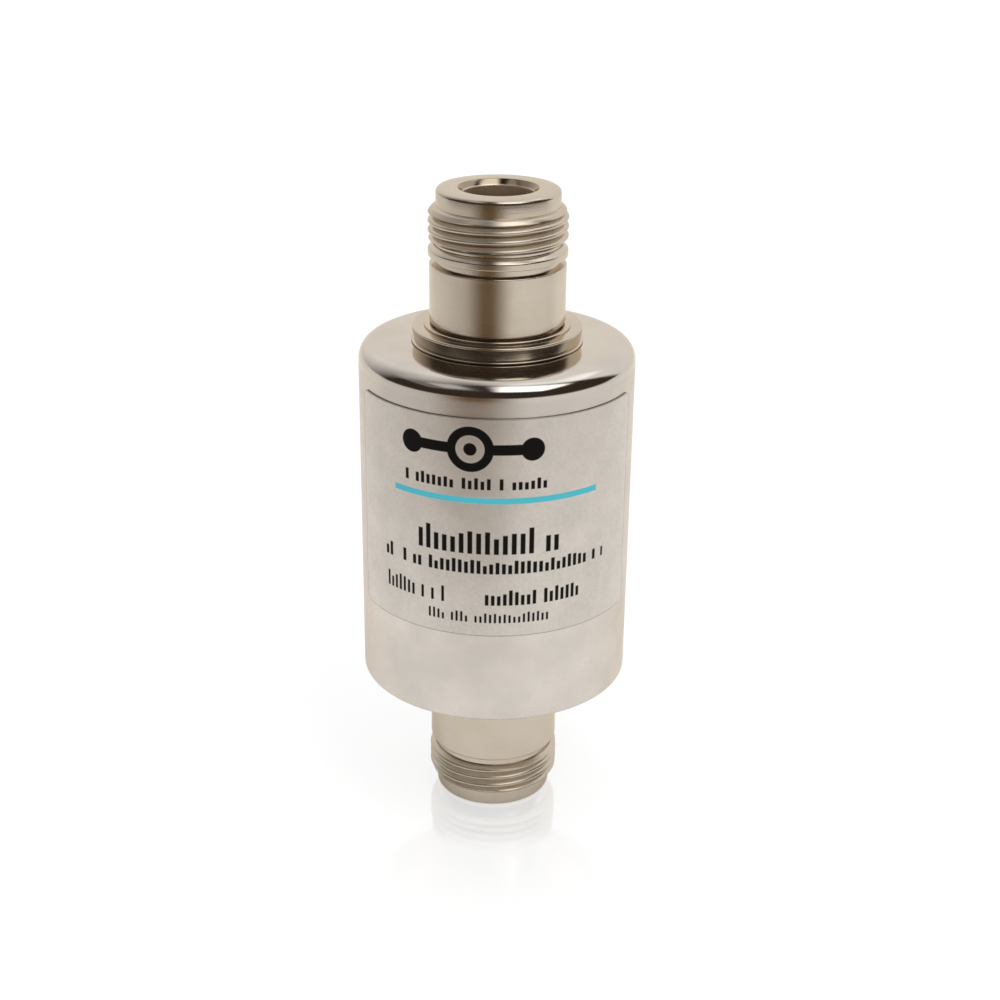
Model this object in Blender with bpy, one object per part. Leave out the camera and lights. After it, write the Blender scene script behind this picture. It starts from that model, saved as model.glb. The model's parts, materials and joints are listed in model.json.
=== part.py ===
"""In-line coaxial lightning arrestor with a threaded jack at each end.

Blender 4.5, metres, +Z up. The origin is the centre of the lower mating face and +Z runs along
the line to the upper mating face. The can's front, which carries the label, faces -Y.
"""
import math

import bmesh
import bpy
from mathutils import Matrix

# The can and how far each jack stands out of it
CAN_D = 0.0320
CAN_LENGTH = 0.0413
CAN_WALL = 0.0024
CAN_TOP = 0.0040
SHOULDER_R = 0.0020
FOOT_CHAMFER = 0.0005
UPPER_REACH = 0.0176
LOWER_REACH = 0.0173

# Jack interface: 5/8-24 thread, bore steps behind the mating face
THREAD_D = 0.015875
THREAD_LENGTH = 0.0042
NOSE_D = 0.0141
NOSE_LENGTH = 0.00175
RELIEF_DEPTH = 0.0007
MOUTH_BORE_D = 0.0081
MOUTH_CHAMFER = 0.0005
REFERENCE_DEPTH = 0.00904
LINE_BORE_D = 0.0070
LINE_BORE_LENGTH = 0.0020
EDGE_BREAK = 0.00035

# Turned outside of the upper shell, from the relief down to the can
UPPER_RELIEF = 0.0003
RING_WIDTH = 0.00165
RING_CHAMFER = 0.00055
GROOVE_WIDTH = 0.0008
GROOVE_DEPTH = 0.0004
BARREL_D = 0.0156
FOOT_RING_D = 0.0170
FOOT_RING_H = 0.0005
FLANGE_D = 0.0196
FLANGE_H = 0.0017
SPIGOT_D = 0.0140

# Base plug of the lower shell
LOWER_RELIEF = 0.0009
BASE_PLUG_H = 0.0060

# O-rings
FLANGE_SEAL_SECTION = 0.0010
BASE_SEAL_SECTION = 0.0015

# Contacts and the beads that carry them
CONTACT_D = 0.00304
CONTACT_RECESS = 0.0050
SOCKET_HOLE_D = 0.00165
SOCKET_HOLE_DEPTH = 0.0045
SOCKET_SLOT = 0.0003
SOCKET_SLOT_LENGTH = 0.0034
NECK_D = 0.0025
STUB_D = 0.0016
STUB_LENGTH = 0.0027
BEAD_D = 0.0084
BEAD_LENGTH = 0.0060

# Ground block, through line and its supports
WASHER_T = 0.0005
WASHER_WAVE = 0.0008
WASHER_WIDTH = 0.0035
WASHER_WAVES = 4
SUPPORT_D = 0.0102
SUPPORT_LENGTH = 0.0044
LINE_THIN_D = 0.0025
LINE_FLAT = 0.0009
POCKET_FLOOR = 0.0002

# Gas discharge tube and what holds it in its pocket
TUBE_D = 0.0080
TUBE_WALL = 0.0010
ELECTRODE_T = 0.0008
SPARK_GAP = 0.0010
PLUG_D = 0.0108
PLUG_FLOOR = 0.0019
PLUG_SLOT_WIDTH = 0.0012
PLUG_SLOT_DEPTH = 0.0009
SPRING_ROOM = 0.0023
SPRING_WIRE = 0.0005
SPRING_TURNS = 2.5

# Foil label
LABEL_FOOT = 0.0111
LABEL_HEIGHT = 0.0262
LABEL_HALF_ANGLE = math.radians(67.5)
LABEL_CORNER_R = 0.0009
LABEL_T = 0.00015
LABEL_GAP = 0.00005

# Clearances: where faces seat on each other, and round pieces in their holes
SEAT_GAP = 0.0003
FIT_GAP = 0.00015

# Facets round a turn
CAN_FACETS = 80
SHELL_FACETS = 44
BLOCK_FACETS = 44
SEAL_FACETS = 36
SMALL_FACETS = 28

# Places that follow from the sizes above
OVERALL = LOWER_REACH + CAN_LENGTH + UPPER_REACH
CAN_FOOT_Z = LOWER_REACH
CAN_TOP_Z = LOWER_REACH + CAN_LENGTH
CAN_R = CAN_D / 2
CAVITY_R = CAN_R - CAN_WALL
BLOCK_R = CAVITY_R - SEAT_GAP
THREAD_END = NOSE_LENGTH + THREAD_LENGTH
BEAD_FRONT = REFERENCE_DEPTH + LINE_BORE_LENGTH + FIT_GAP
BEAD_REAR = BEAD_FRONT + BEAD_LENGTH
UPPER_SHELL_REAR = UPPER_REACH + CAN_TOP
LOWER_SHELL_REAR = LOWER_REACH + BASE_PLUG_H
BLOCK_FOOT_Z = LOWER_SHELL_REAR + WASHER_T + WASHER_WAVE + 2 * FIT_GAP
BLOCK_TOP_Z = CAN_TOP_Z - CAN_TOP - SEAT_GAP
TUBE_Z = (BLOCK_FOOT_Z + BLOCK_TOP_Z) / 2
FLANGE_SEAT = UPPER_REACH - SEAT_GAP

MATERIALS = {
    "nickel": ((0.74, 0.70, 0.64), 1.0, 0.22),
    "brushed_nickel": ((0.72, 0.69, 0.64), 1.0, 0.32),
    "foil": ((0.66, 0.63, 0.58), 0.8, 0.38),
    "gold": ((0.85, 0.64, 0.30), 1.0, 0.22),
    "silver": ((0.86, 0.85, 0.82), 1.0, 0.25),
    "ptfe": ((0.86, 0.85, 0.82), 0.0, 0.45),
    "rubber": ((0.02, 0.02, 0.02), 0.0, 0.60),
    "ceramic": ((0.82, 0.80, 0.76), 0.0, 0.35),
    "steel": ((0.55, 0.55, 0.56), 1.0, 0.30),
    "brass": ((0.78, 0.62, 0.33), 1.0, 0.30),
}


def clear_scene():
    for old in list(bpy.data.objects):
        bpy.data.objects.remove(old, do_unlink=True)


def material(name):
    if name in bpy.data.materials:
        return bpy.data.materials[name]
    color, metallic, roughness = MATERIALS[name]
    made = bpy.data.materials.new(name)
    made.use_nodes = True
    shader = made.node_tree.nodes["Principled BSDF"]
    shader.inputs["Base Color"].default_value = (*color, 1.0)
    shader.inputs["Metallic"].default_value = metallic
    shader.inputs["Roughness"].default_value = roughness
    return made


def empty(name, parent=None, z=0.0, turn=0.0):
    made = bpy.data.objects.new(name, None)
    bpy.context.collection.objects.link(made)
    made.parent = parent
    made.location = (0.0, 0.0, z)
    made.rotation_euler = (turn, 0.0, 0.0)
    return made


def place(name, mesh, material_name, parent, z=0.0):
    """Make an object of the mesh, smooth on its round faces, z along its parent's axis."""
    mesh.materials.append(material(material_name))
    mesh.shade_smooth()
    mesh.set_sharp_from_angle(angle=math.radians(30))
    made = bpy.data.objects.new(name, mesh)
    bpy.context.collection.objects.link(made)
    made.parent = parent
    made.location = (0.0, 0.0, z)
    return made


def arc(centre_r, centre_z, radius, start, end, steps):
    """Points of an arc in the outline's plane, angles in degrees from +r towards +z."""
    points = []
    for step in range(steps + 1):
        angle = math.radians(start + (end - start) * step / steps)
        points.append((centre_r + radius * math.cos(angle), centre_z + radius * math.sin(angle)))
    return points


def finish_mesh(name, work):
    bmesh.ops.recalc_face_normals(work, faces=work.faces)
    mesh = bpy.data.meshes.new(name)
    work.to_mesh(mesh)
    work.free()
    return mesh


def turned(name, outline, facets):
    """Spin a closed (radius, height) outline round Z. Points on the axis are merged."""
    work = bmesh.new()
    corners = [work.verts.new((r, 0.0, z)) for r, z in outline]
    edges = [work.edges.new((corners[i], corners[(i + 1) % len(corners)])) for i in range(len(corners))]
    edges = [edge for edge in edges if any(abs(v.co.x) > 1e-9 for v in edge.verts)]
    bmesh.ops.spin(work, geom=corners + edges, cent=(0, 0, 0), axis=(0, 0, 1),
                   angle=2 * math.pi, steps=facets, use_merge=True)
    bmesh.ops.remove_doubles(work, verts=work.verts, dist=1e-7)
    loose = [edge for edge in work.edges if not edge.link_faces]
    bmesh.ops.delete(work, geom=loose, context="EDGES")
    return finish_mesh(name, work)


def tube_outline(inner_r, outer_r, low, high):
    return [(inner_r, low), (outer_r, low), (outer_r, high), (inner_r, high)]


def cut(target, cutter):
    """Cut one object out of another and keep the cutter as a hidden guide."""
    cutter.hide_render = True
    cutter.display_type = "WIRE"
    step = target.modifiers.new(cutter.name, "BOOLEAN")
    step.operation = "DIFFERENCE"
    step.solver = "EXACT"
    step.object = cutter


def block_cutter(name, size, centre, parent):
    work = bmesh.new()
    bmesh.ops.create_cube(work, size=1.0, matrix=Matrix.Translation(centre) @ Matrix.Diagonal((*size, 1.0)))
    return place(name, finish_mesh(name, work), "steel", parent)


def jack_front():
    """Outside of a jack from its mating face to the end of the thread, as depths below the face."""
    nose_r, thread_r = NOSE_D / 2, THREAD_D / 2
    lead = thread_r - nose_r
    return [
        (nose_r - EDGE_BREAK, 0.0), (nose_r, -EDGE_BREAK), (nose_r, -NOSE_LENGTH),
        (thread_r, -(NOSE_LENGTH + lead / 2)), (thread_r, -THREAD_END),
        (thread_r - RELIEF_DEPTH, -THREAD_END),
    ]


def jack_bore(rear):
    """Bore of a jack from the shell's rear face out to the mouth."""
    bead_hole_r = BEAD_D / 2 + FIT_GAP
    shoulder = -(REFERENCE_DEPTH + LINE_BORE_LENGTH)
    return [
        (bead_hole_r, -rear), (bead_hole_r, shoulder), (LINE_BORE_D / 2, shoulder),
        (LINE_BORE_D / 2, -REFERENCE_DEPTH), (MOUTH_BORE_D / 2, -REFERENCE_DEPTH),
        (MOUTH_BORE_D / 2, -MOUTH_CHAMFER), (MOUTH_BORE_D / 2 + MOUTH_CHAMFER, 0.0),
    ]


def housing(root):
    """The turned can: round shoulder, flat top with the spigot hole, open foot."""
    hole_r = SPIGOT_D / 2 + FIT_GAP
    height = CAN_LENGTH
    outline = [
        (CAVITY_R, 0.0), (CAN_R - FOOT_CHAMFER, 0.0), (CAN_R, FOOT_CHAMFER),
        *arc(CAN_R - SHOULDER_R, height - SHOULDER_R, SHOULDER_R, 0, 90, 6),
        (hole_r, height), (hole_r, height - CAN_TOP), (CAVITY_R, height - CAN_TOP),
    ]
    place("housing", turned("housing", outline, CAN_FACETS), "brushed_nickel", root, CAN_FOOT_Z)


def o_ring(name, end, middle_r, section, depth):
    """Rubber ring of a round section, its middle at a depth below the mating face."""
    sides = 8
    outline = arc(middle_r, 0.0, section / 2, 0, 360 - 360 / sides, sides - 1)
    place(name, turned(name, outline, SEAL_FACETS), "rubber", end, -depth)


def upper_connector_shell(end):
    """Nose, thread, ring, groove, barrel, foot ring and flange, with the spigot under the flange."""
    ring_r, barrel_r, flange_r, spigot_r = THREAD_D / 2, BARREL_D / 2, FLANGE_D / 2, SPIGOT_D / 2
    ring_top = THREAD_END + UPPER_RELIEF
    ring_foot = ring_top + RING_WIDTH
    barrel_top = ring_foot + GROOVE_WIDTH
    flange_top = FLANGE_SEAT - FLANGE_H
    foot_ring_top = flange_top - FOOT_RING_H
    groove_inner = spigot_r + (flange_r - spigot_r) / 2 - FLANGE_SEAL_SECTION / 2 - FIT_GAP
    groove_outer = groove_inner + FLANGE_SEAL_SECTION + 2 * FIT_GAP
    groove_roof = FLANGE_SEAT - FLANGE_SEAL_SECTION
    outline = jack_front() + [
        (ring_r - RELIEF_DEPTH, -ring_top), (ring_r - RING_CHAMFER, -ring_top),
        (ring_r, -(ring_top + RING_CHAMFER)), (ring_r, -ring_foot),
        (barrel_r - GROOVE_DEPTH, -ring_foot), (barrel_r - GROOVE_DEPTH, -barrel_top),
        (barrel_r, -barrel_top), (barrel_r, -foot_ring_top),
        (FOOT_RING_D / 2, -foot_ring_top), (FOOT_RING_D / 2, -flange_top),
        (flange_r - EDGE_BREAK, -flange_top), (flange_r, -(flange_top + EDGE_BREAK)),
        (flange_r, -FLANGE_SEAT), (groove_outer, -FLANGE_SEAT), (groove_outer, -groove_roof),
        (groove_inner, -groove_roof), (groove_inner, -FLANGE_SEAT), (spigot_r, -FLANGE_SEAT),
        (spigot_r, -UPPER_SHELL_REAR),
    ] + jack_bore(UPPER_SHELL_REAR)
    place("upper_connector_shell", turned("upper_connector_shell", outline, SHELL_FACETS), "nickel", end)

    seal_middle_r = (groove_inner + groove_outer) / 2
    seal_depth = groove_roof + FIT_GAP + FLANGE_SEAL_SECTION / 2
    o_ring("upper_flange_seal", end, seal_middle_r, FLANGE_SEAL_SECTION, seal_depth)


def lower_connector_shell(end):
    """Jack, barrel and base plug in one piece. The plug screws into the can and carries an O-ring."""
    barrel_r = BARREL_D / 2
    barrel_end = THREAD_END + LOWER_RELIEF
    seal_r = BASE_SEAL_SECTION / 2
    groove_r = CAVITY_R - BASE_SEAL_SECTION - FIT_GAP
    groove_half = seal_r + FIT_GAP
    groove_middle = LOWER_REACH + BASE_PLUG_H / 2
    outline = jack_front() + [
        (THREAD_D / 2 - RELIEF_DEPTH, -barrel_end), (barrel_r - EDGE_BREAK, -barrel_end),
        (barrel_r, -(barrel_end + EDGE_BREAK)), (barrel_r, -LOWER_REACH),
        (BLOCK_R - EDGE_BREAK, -LOWER_REACH), (BLOCK_R, -(LOWER_REACH + EDGE_BREAK)),
        (BLOCK_R, -(groove_middle - groove_half)), (groove_r, -(groove_middle - groove_half)),
        (groove_r, -(groove_middle + groove_half)), (BLOCK_R, -(groove_middle + groove_half)),
        (BLOCK_R, -LOWER_SHELL_REAR),
    ] + jack_bore(LOWER_SHELL_REAR)
    place("lower_connector_shell", turned("lower_connector_shell", outline, SHELL_FACETS), "nickel", end)
    o_ring("base_seal", end, CAVITY_R - FIT_GAP / 2 - seal_r, BASE_SEAL_SECTION, groove_middle)


def contact(name, end):
    """Socket contact: split tip, shoulder against the bead, neck through it and a stub for the line."""
    body_r, hole_r = CONTACT_D / 2, SOCKET_HOLE_D / 2
    shoulder = -(BEAD_FRONT - FIT_GAP - CONTACT_RECESS)
    neck_end = -(BEAD_REAR + FIT_GAP - CONTACT_RECESS)
    lip = (body_r - hole_r) / 3
    outline = [
        (hole_r + lip, 0.0), (body_r - lip, 0.0), (body_r, -lip), (body_r, shoulder),
        (NECK_D / 2, shoulder), (NECK_D / 2, neck_end), (STUB_D / 2, neck_end),
        (STUB_D / 2, neck_end - STUB_LENGTH), (0.0, neck_end - STUB_LENGTH),
        (0.0, -SOCKET_HOLE_DEPTH - hole_r / 2), (hole_r, -SOCKET_HOLE_DEPTH), (hole_r, -lip),
    ]
    made = place(name, turned(name, outline, SMALL_FACETS), "gold", end, -CONTACT_RECESS)
    # The two slots stand between facets, so that no cut runs along an edge
    turn = math.pi / SMALL_FACETS
    for index in range(2):
        size = (2 * CONTACT_D, SOCKET_SLOT, 2 * SOCKET_SLOT_LENGTH)
        slot = block_cutter(f"{name}_slot_{index}", size, (0, 0, 0), made)
        slot.rotation_euler = (0, 0, turn + index * math.pi / 2)
        cut(made, slot)


def bead(name, end):
    """Insulating bead behind the bore's shoulder, drilled for the contact's neck."""
    outline = tube_outline(NECK_D / 2 + FIT_GAP, BEAD_D / 2, -BEAD_LENGTH, 0.0)
    place(name, turned(name, outline, SMALL_FACETS), "ptfe", end, -BEAD_FRONT)


def retaining_bush(name, end, shell_rear):
    """Bush pressed into the shell's rear, which keeps the bead on its shoulder."""
    front = BEAD_REAR + FIT_GAP
    outline = tube_outline(LINE_BORE_D / 2, BEAD_D / 2, -(shell_rear - front), 0.0)
    place(name, turned(name, outline, SMALL_FACETS), "brass", end, -front)


def line_rod(root):
    """Through conductor between the two contacts, thinner where the gas tube rests on its flat."""
    foot = BEAD_REAR + 2 * FIT_GAP
    length = OVERALL - 2 * foot
    half_thin = TUBE_D / 2 + CONTACT_D / 2
    rod_r, thin_r = CONTACT_D / 2, LINE_THIN_D / 2
    hole_r, hole_depth = STUB_D / 2 + FIT_GAP, STUB_LENGTH + FIT_GAP
    middle = TUBE_Z - foot
    outline = [
        (0.0, hole_depth), (hole_r, hole_depth), (hole_r, 0.0), (rod_r, 0.0),
        (rod_r, middle - half_thin), (thin_r, middle - half_thin),
        (thin_r, middle + half_thin), (rod_r, middle + half_thin),
        (rod_r, length), (hole_r, length), (hole_r, length - hole_depth), (0.0, length - hole_depth),
    ]
    made = place("line_rod", turned("line_rod", outline, SMALL_FACETS), "silver", root, foot)
    flat_size = (CONTACT_D, CONTACT_D, TUBE_D + 4 * FIT_GAP)
    flat = block_cutter("line_rod_flat", flat_size, (0, LINE_FLAT + CONTACT_D / 2, middle), made)
    cut(made, flat)


def core_block(root, tube_axis):
    """Ground block with the line bore, a seat for a support at each end and the pocket of the tube."""
    height = BLOCK_TOP_Z - BLOCK_FOOT_Z
    seat_r, seat_depth = SUPPORT_D / 2 + FIT_GAP, SUPPORT_LENGTH + 2 * FIT_GAP
    bore_r = LINE_BORE_D / 2
    outline = [
        (seat_r, 0.0), (BLOCK_R - EDGE_BREAK, 0.0), (BLOCK_R, EDGE_BREAK),
        (BLOCK_R, height - EDGE_BREAK), (BLOCK_R - EDGE_BREAK, height), (seat_r, height),
        (seat_r, height - seat_depth), (bore_r, height - seat_depth),
        (bore_r, seat_depth), (seat_r, seat_depth),
    ]
    made = place("core_block", turned("core_block", outline, BLOCK_FACETS), "brass", root, BLOCK_FOOT_Z)
    pocket_outline = tube_outline(0.0, PLUG_D / 2 + FIT_GAP, POCKET_FLOOR, CAN_D)
    pocket = place("tube_pocket", turned("tube_pocket", pocket_outline, SMALL_FACETS), "brass", tube_axis)
    cut(made, pocket)


def rod_support(name, root, foot_z):
    """Bead that centres the line in one end of the block."""
    outline = tube_outline(CONTACT_D / 2 + FIT_GAP, SUPPORT_D / 2, 0.0, SUPPORT_LENGTH)
    place(name, turned(name, outline, SMALL_FACETS), "ptfe", root, foot_z)


def gas_tube(tube_axis):
    """Discharge tube that fills the pocket between the line's flat and the spring under the plug."""
    # The plug's face stays inside the block's round side
    plug_r = PLUG_D / 2
    plug_face = math.sqrt(BLOCK_R ** 2 - plug_r ** 2) - FIT_GAP
    recess_floor = plug_face - PLUG_FLOOR

    tube_r = TUBE_D / 2
    line_face = LINE_FLAT + FIT_GAP
    body_foot = line_face + ELECTRODE_T + FIT_GAP
    ground_face = recess_floor - SPRING_ROOM
    ground_foot = ground_face - ELECTRODE_T
    body_length = ground_foot - FIT_GAP - body_foot
    stem_r = tube_r - TUBE_WALL - 2 * FIT_GAP
    stem = FIT_GAP + (body_length - SPARK_GAP) / 2
    cap = [(0.0, 0.0), (tube_r, 0.0), (tube_r, ELECTRODE_T), (stem_r, ELECTRODE_T),
           (stem_r, ELECTRODE_T + stem), (0.0, ELECTRODE_T + stem)]
    name = "gas_tube_line_electrode"
    place(name, turned(name, cap, SMALL_FACETS), "silver", tube_axis, line_face)
    name = "gas_tube_ground_electrode"
    facing = place(name, turned(name, cap, SMALL_FACETS), "silver", tube_axis, ground_face)
    facing.rotation_euler = (math.pi, 0, 0)
    name = "gas_tube_body"
    ring = tube_outline(tube_r - TUBE_WALL, tube_r - FIT_GAP, 0.0, body_length)
    place(name, turned(name, ring, SMALL_FACETS), "ceramic", tube_axis, body_foot)

    recess_r = tube_r + 2 * FIT_GAP
    outline = [(0.0, recess_floor), (recess_r, recess_floor), (recess_r, ground_foot),
               (plug_r, ground_foot), (plug_r, plug_face), (0.0, plug_face)]
    plug = place("ground_plug", turned("ground_plug", outline, SMALL_FACETS), "brass", tube_axis)
    slot = block_cutter("ground_plug_slot", (2 * PLUG_D, PLUG_SLOT_WIDTH, 2 * PLUG_SLOT_DEPTH),
                        (0, 0, plug_face), tube_axis)
    slot.rotation_euler = (0, 0, math.pi / SMALL_FACETS)
    cut(plug, slot)
    ground_spring(tube_axis, ground_face + FIT_GAP, recess_floor - FIT_GAP)


def ground_spring(tube_axis, foot, top):
    """Coil spring between the tube and the plug's floor."""
    coil_r = TUBE_D / 2 - SPRING_WIRE
    wire_r = SPRING_WIRE / 2
    steps = round(SPRING_TURNS * 18)
    curve = bpy.data.curves.new("ground_spring", "CURVE")
    curve.dimensions = "3D"
    curve.bevel_depth = wire_r
    curve.bevel_resolution = 1
    curve.use_fill_caps = True
    spline = curve.splines.new("POLY")
    spline.points.add(steps)
    for step, point in enumerate(spline.points):
        angle = 2 * math.pi * SPRING_TURNS * step / steps
        height = foot + wire_r + (top - foot - SPRING_WIRE) * step / steps
        point.co = (coil_r * math.cos(angle), coil_r * math.sin(angle), height, 1.0)
    curve.materials.append(material("steel"))
    made = bpy.data.objects.new("ground_spring", curve)
    bpy.context.collection.objects.link(made)
    made.parent = tube_axis


def clamp_washer(root):
    """Wave washer that presses the block against the can's top."""
    outer_r = BLOCK_R - 2 * EDGE_BREAK
    outline = tube_outline(outer_r - WASHER_WIDTH, outer_r, 0.0, WASHER_T)
    mesh = turned("clamp_washer", outline, SHELL_FACETS)
    for vertex in mesh.vertices:
        angle = math.atan2(vertex.co.y, vertex.co.x)
        vertex.co.z += WASHER_WAVE / 2 * (1 + math.cos(WASHER_WAVES * angle))
    place("clamp_washer", mesh, "steel", root, LOWER_SHELL_REAR + FIT_GAP)


def label(root):
    """Foil sheet on the can's front with rounded corners, one facet of the can wide per column."""
    corner_angle = LABEL_CORNER_R / CAN_R
    facet = 2 * math.pi / CAN_FACETS
    straight = LABEL_HALF_ANGLE - corner_angle
    count = math.ceil(straight / facet) - 1
    angles = [index * facet for index in range(-count, count + 1)]
    steps = 4
    rounded = []
    for step in range(steps + 1):
        slide = math.pi / 2 * step / steps
        rounded.append((straight + corner_angle * math.sin(slide), LABEL_CORNER_R * (1 - math.cos(slide))))
    columns = [(-angle, drop) for angle, drop in reversed(rounded)]
    columns += [(angle, 0.0) for angle in angles]
    columns += rounded
    inner_r = CAN_R + LABEL_GAP
    outer_r = inner_r + LABEL_T
    work = bmesh.new()
    rings = []
    for angle, drop in columns:
        low, high = drop, LABEL_HEIGHT - drop
        across = math.sin(angle), -math.cos(angle)
        rings.append([work.verts.new((across[0] * r, across[1] * r, z))
                      for r, z in ((inner_r, low), (outer_r, low), (outer_r, high), (inner_r, high))])
    for left, right in zip(rings, rings[1:]):
        for corner in range(4):
            following = (corner + 1) % 4
            work.faces.new((left[corner], left[following], right[following], right[corner]))
    work.faces.new(rings[0])
    work.faces.new(rings[-1])
    place("label", finish_mesh("label", work), "foil", root, CAN_FOOT_Z + LABEL_FOOT)


def build():
    clear_scene()
    root = empty("arrestor")
    upper_end = empty("upper_end", root, OVERALL)
    lower_end = empty("lower_end", root, 0.0, math.pi)
    tube_axis = empty("tube_axis", root, TUBE_Z, -math.pi / 2)

    housing(root)
    upper_connector_shell(upper_end)
    lower_connector_shell(lower_end)
    ends = (("upper", upper_end, UPPER_SHELL_REAR), ("lower", lower_end, LOWER_SHELL_REAR))
    for side, end, shell_rear in ends:
        contact(f"{side}_contact", end)
        bead(f"{side}_insulator", end)
        retaining_bush(f"{side}_retaining_bush", end, shell_rear)
    line_rod(root)
    core_block(root, tube_axis)
    rod_support("upper_rod_support", root, BLOCK_TOP_Z - FIT_GAP - SUPPORT_LENGTH)
    rod_support("lower_rod_support", root, BLOCK_FOOT_Z + FIT_GAP)
    gas_tube(tube_axis)
    clamp_washer(root)
    label(root)


build()
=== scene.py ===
"""Looks of the in-line coaxial lightning arrestor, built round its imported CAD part.

The can, both jacks, both contacts and the label are fine turned meshes that stand for their CAD
nodes. All other nodes keep their CAD mesh and get a finish. Lengths are in millimetres in the
outlines and become metres in the meshes.
"""
import json
import math

import bmesh
import bpy
from mathutils import Matrix, Vector


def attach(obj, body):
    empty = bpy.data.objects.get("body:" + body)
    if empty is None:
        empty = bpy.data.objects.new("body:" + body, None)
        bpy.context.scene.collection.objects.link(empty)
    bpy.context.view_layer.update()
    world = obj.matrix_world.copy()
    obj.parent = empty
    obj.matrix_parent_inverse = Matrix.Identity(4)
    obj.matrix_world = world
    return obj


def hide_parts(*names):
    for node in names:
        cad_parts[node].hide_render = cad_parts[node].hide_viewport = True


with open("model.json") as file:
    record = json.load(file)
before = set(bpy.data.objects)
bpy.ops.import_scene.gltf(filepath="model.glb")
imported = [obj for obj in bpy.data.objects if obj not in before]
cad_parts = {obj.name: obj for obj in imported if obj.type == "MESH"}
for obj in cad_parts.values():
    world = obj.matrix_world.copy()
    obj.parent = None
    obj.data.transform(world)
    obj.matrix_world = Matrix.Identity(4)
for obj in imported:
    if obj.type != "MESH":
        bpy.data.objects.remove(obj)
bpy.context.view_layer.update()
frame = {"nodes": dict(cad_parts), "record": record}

MM = 0.001

# Heights above the lower mating face and sizes of the can
OVERALL = 76.2
CAN_FOOT = 17.3
CAN_TOP = 58.6
CAN_R = 16.0
CAVITY_R = 13.6
SHOULDER_R = 2.0
SPIGOT_HOLE_R = 7.15
CAN_TOP_WALL = 4.0

# Both jacks, as depths below the mating face
THREAD_R = 7.9375
THREAD_PITCH = 25.4 / 24
THREAD_DEPTH = 0.60
THREAD_START = 1.9
THREAD_STOP = 5.95
NOSE_R = 7.05
RELIEF_R = THREAD_R - 0.7
MOUTH_R = 4.05
MOUTH_CHAMFER = 0.5
MOUTH_CHAMFER_DEPTH = 0.7
REFERENCE_DEPTH = 9.04
LINE_BORE_R = 3.5
BEAD_SHOULDER = 11.04
BEAD_HOLE_R = 4.35
BARREL_R = 7.8

# Upper jack: ring, groove and barrel as depths below the mating face, and the steps of its foot
RING_TOP = 6.25
RING_FOOT = 7.6
RING_CHAMFER = 0.55
GROOVE_R = 7.15
BARREL_TOP = 8.5
UNDERCUT_R = 7.35
UNDERCUT_HEIGHT = 0.25
FOOT_RING_R = 8.45
FOOT_RING_HEIGHT = 0.28
FLANGE_R = 9.8
FLANGE_HEIGHT = 1.80
FLANGE_NECK_R = 9.60
FLANGE_LIP_R = 9.90
SEAT_GAP = 0.06
SPIGOT_R = 7.0

# Lower jack: its barrel ends past the thread, and its plug closes the can
RUN_OUT_GAP = 0.9
PLUG_HEIGHT = 6.0
PLUG_GAP = 0.3

# Shares of a turn at which the threads start
UPPER_THREAD_TURN = -0.325
LOWER_THREAD_TURN = 0.10

# Label on the can's front
LABEL_FOOT_Z = 28.4
LABEL_TOP_Z = 54.6
LABEL_HALF_ANGLE = math.radians(67.5)
LABEL_CORNER = 0.9
LABEL_INNER_R = 16.04
LABEL_OUTER_R = 16.19
LABEL_EDGE = 0.04
PRINT_EDGE = 0.06

# Steps of the fine meshes
TURN_STEPS = 240
CAN_TURN_STEPS = 320
CONTACT_TURN_STEPS = 96
PITCH_STEPS = 16
LABEL_CORNER_STEPS = 8
LABEL_FRONT_STEPS = 96


# Outlines

def fillet_outline(corners, steps=4):
    """Round the corners of a closed outline of (radius, height, fillet radius)."""
    points = []
    count = len(corners)
    for index, (r, z, size) in enumerate(corners):
        here = Vector((r, z))
        if size <= 0:
            points.append((r, z))
            continue
        before = Vector(corners[index - 1][:2]) - here
        after = Vector(corners[(index + 1) % count][:2]) - here
        u, v = before.normalized(), after.normalized()
        half = u.angle(v) / 2
        # A fillet takes up less than half of either side
        tangent = min(size / math.tan(half), 0.49 * before.length, 0.49 * after.length)
        radius = tangent * math.tan(half)
        centre = here + (u + v).normalized() * (radius / math.sin(half))
        start, end = here + u * tangent - centre, here + v * tangent - centre
        sweep = start.angle_signed(end)
        for step in range(steps + 1):
            turned_start = start.copy()
            turned_start.rotate(Matrix.Rotation(-sweep * step / steps, 2))
            points.append(tuple(centre + turned_start))
    return points


def mesh_object(name, work, crease=28.0):
    """Make a mesh of the bmesh with outward normals, smooth between its creases."""
    bmesh.ops.recalc_face_normals(work, faces=work.faces)
    mesh = bpy.data.meshes.new(name)
    work.to_mesh(mesh)
    work.free()
    mesh.shade_smooth()
    mesh.set_sharp_from_angle(angle=math.radians(crease))
    made = bpy.data.objects.new(name, mesh)
    bpy.context.scene.collection.objects.link(made)
    return made


def join_columns(work, columns, closed):
    """Join columns of points, each a closed outline, into a surface. Return their vertices."""
    rows = [[work.verts.new(point) for point in column] for column in columns]
    pairs = list(zip(rows, rows[1:]))
    if closed:
        pairs.append((rows[-1], rows[0]))
    for here, there in pairs:
        for index in range(len(here)):
            following = (index + 1) % len(here)
            work.faces.new((here[index], here[following], there[following], there[index]))
    return rows


def upright_column(across, outline):
    """The (radius, height) outline in millimetres as points under one direction across."""
    return [(across[0] * r * MM, across[1] * r * MM, z * MM) for r, z in outline]


def turned(name, outline, steps):
    """Turned piece of a closed (radius, height) outline in millimetres."""
    work = bmesh.new()
    columns = []
    for step in range(steps):
        angle = 2 * math.pi * step / steps
        columns.append(upright_column((math.cos(angle), math.sin(angle)), outline))
    join_columns(work, columns, closed=True)
    bmesh.ops.remove_doubles(work, verts=work.verts, dist=1e-8)
    return mesh_object(name, work)


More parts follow.
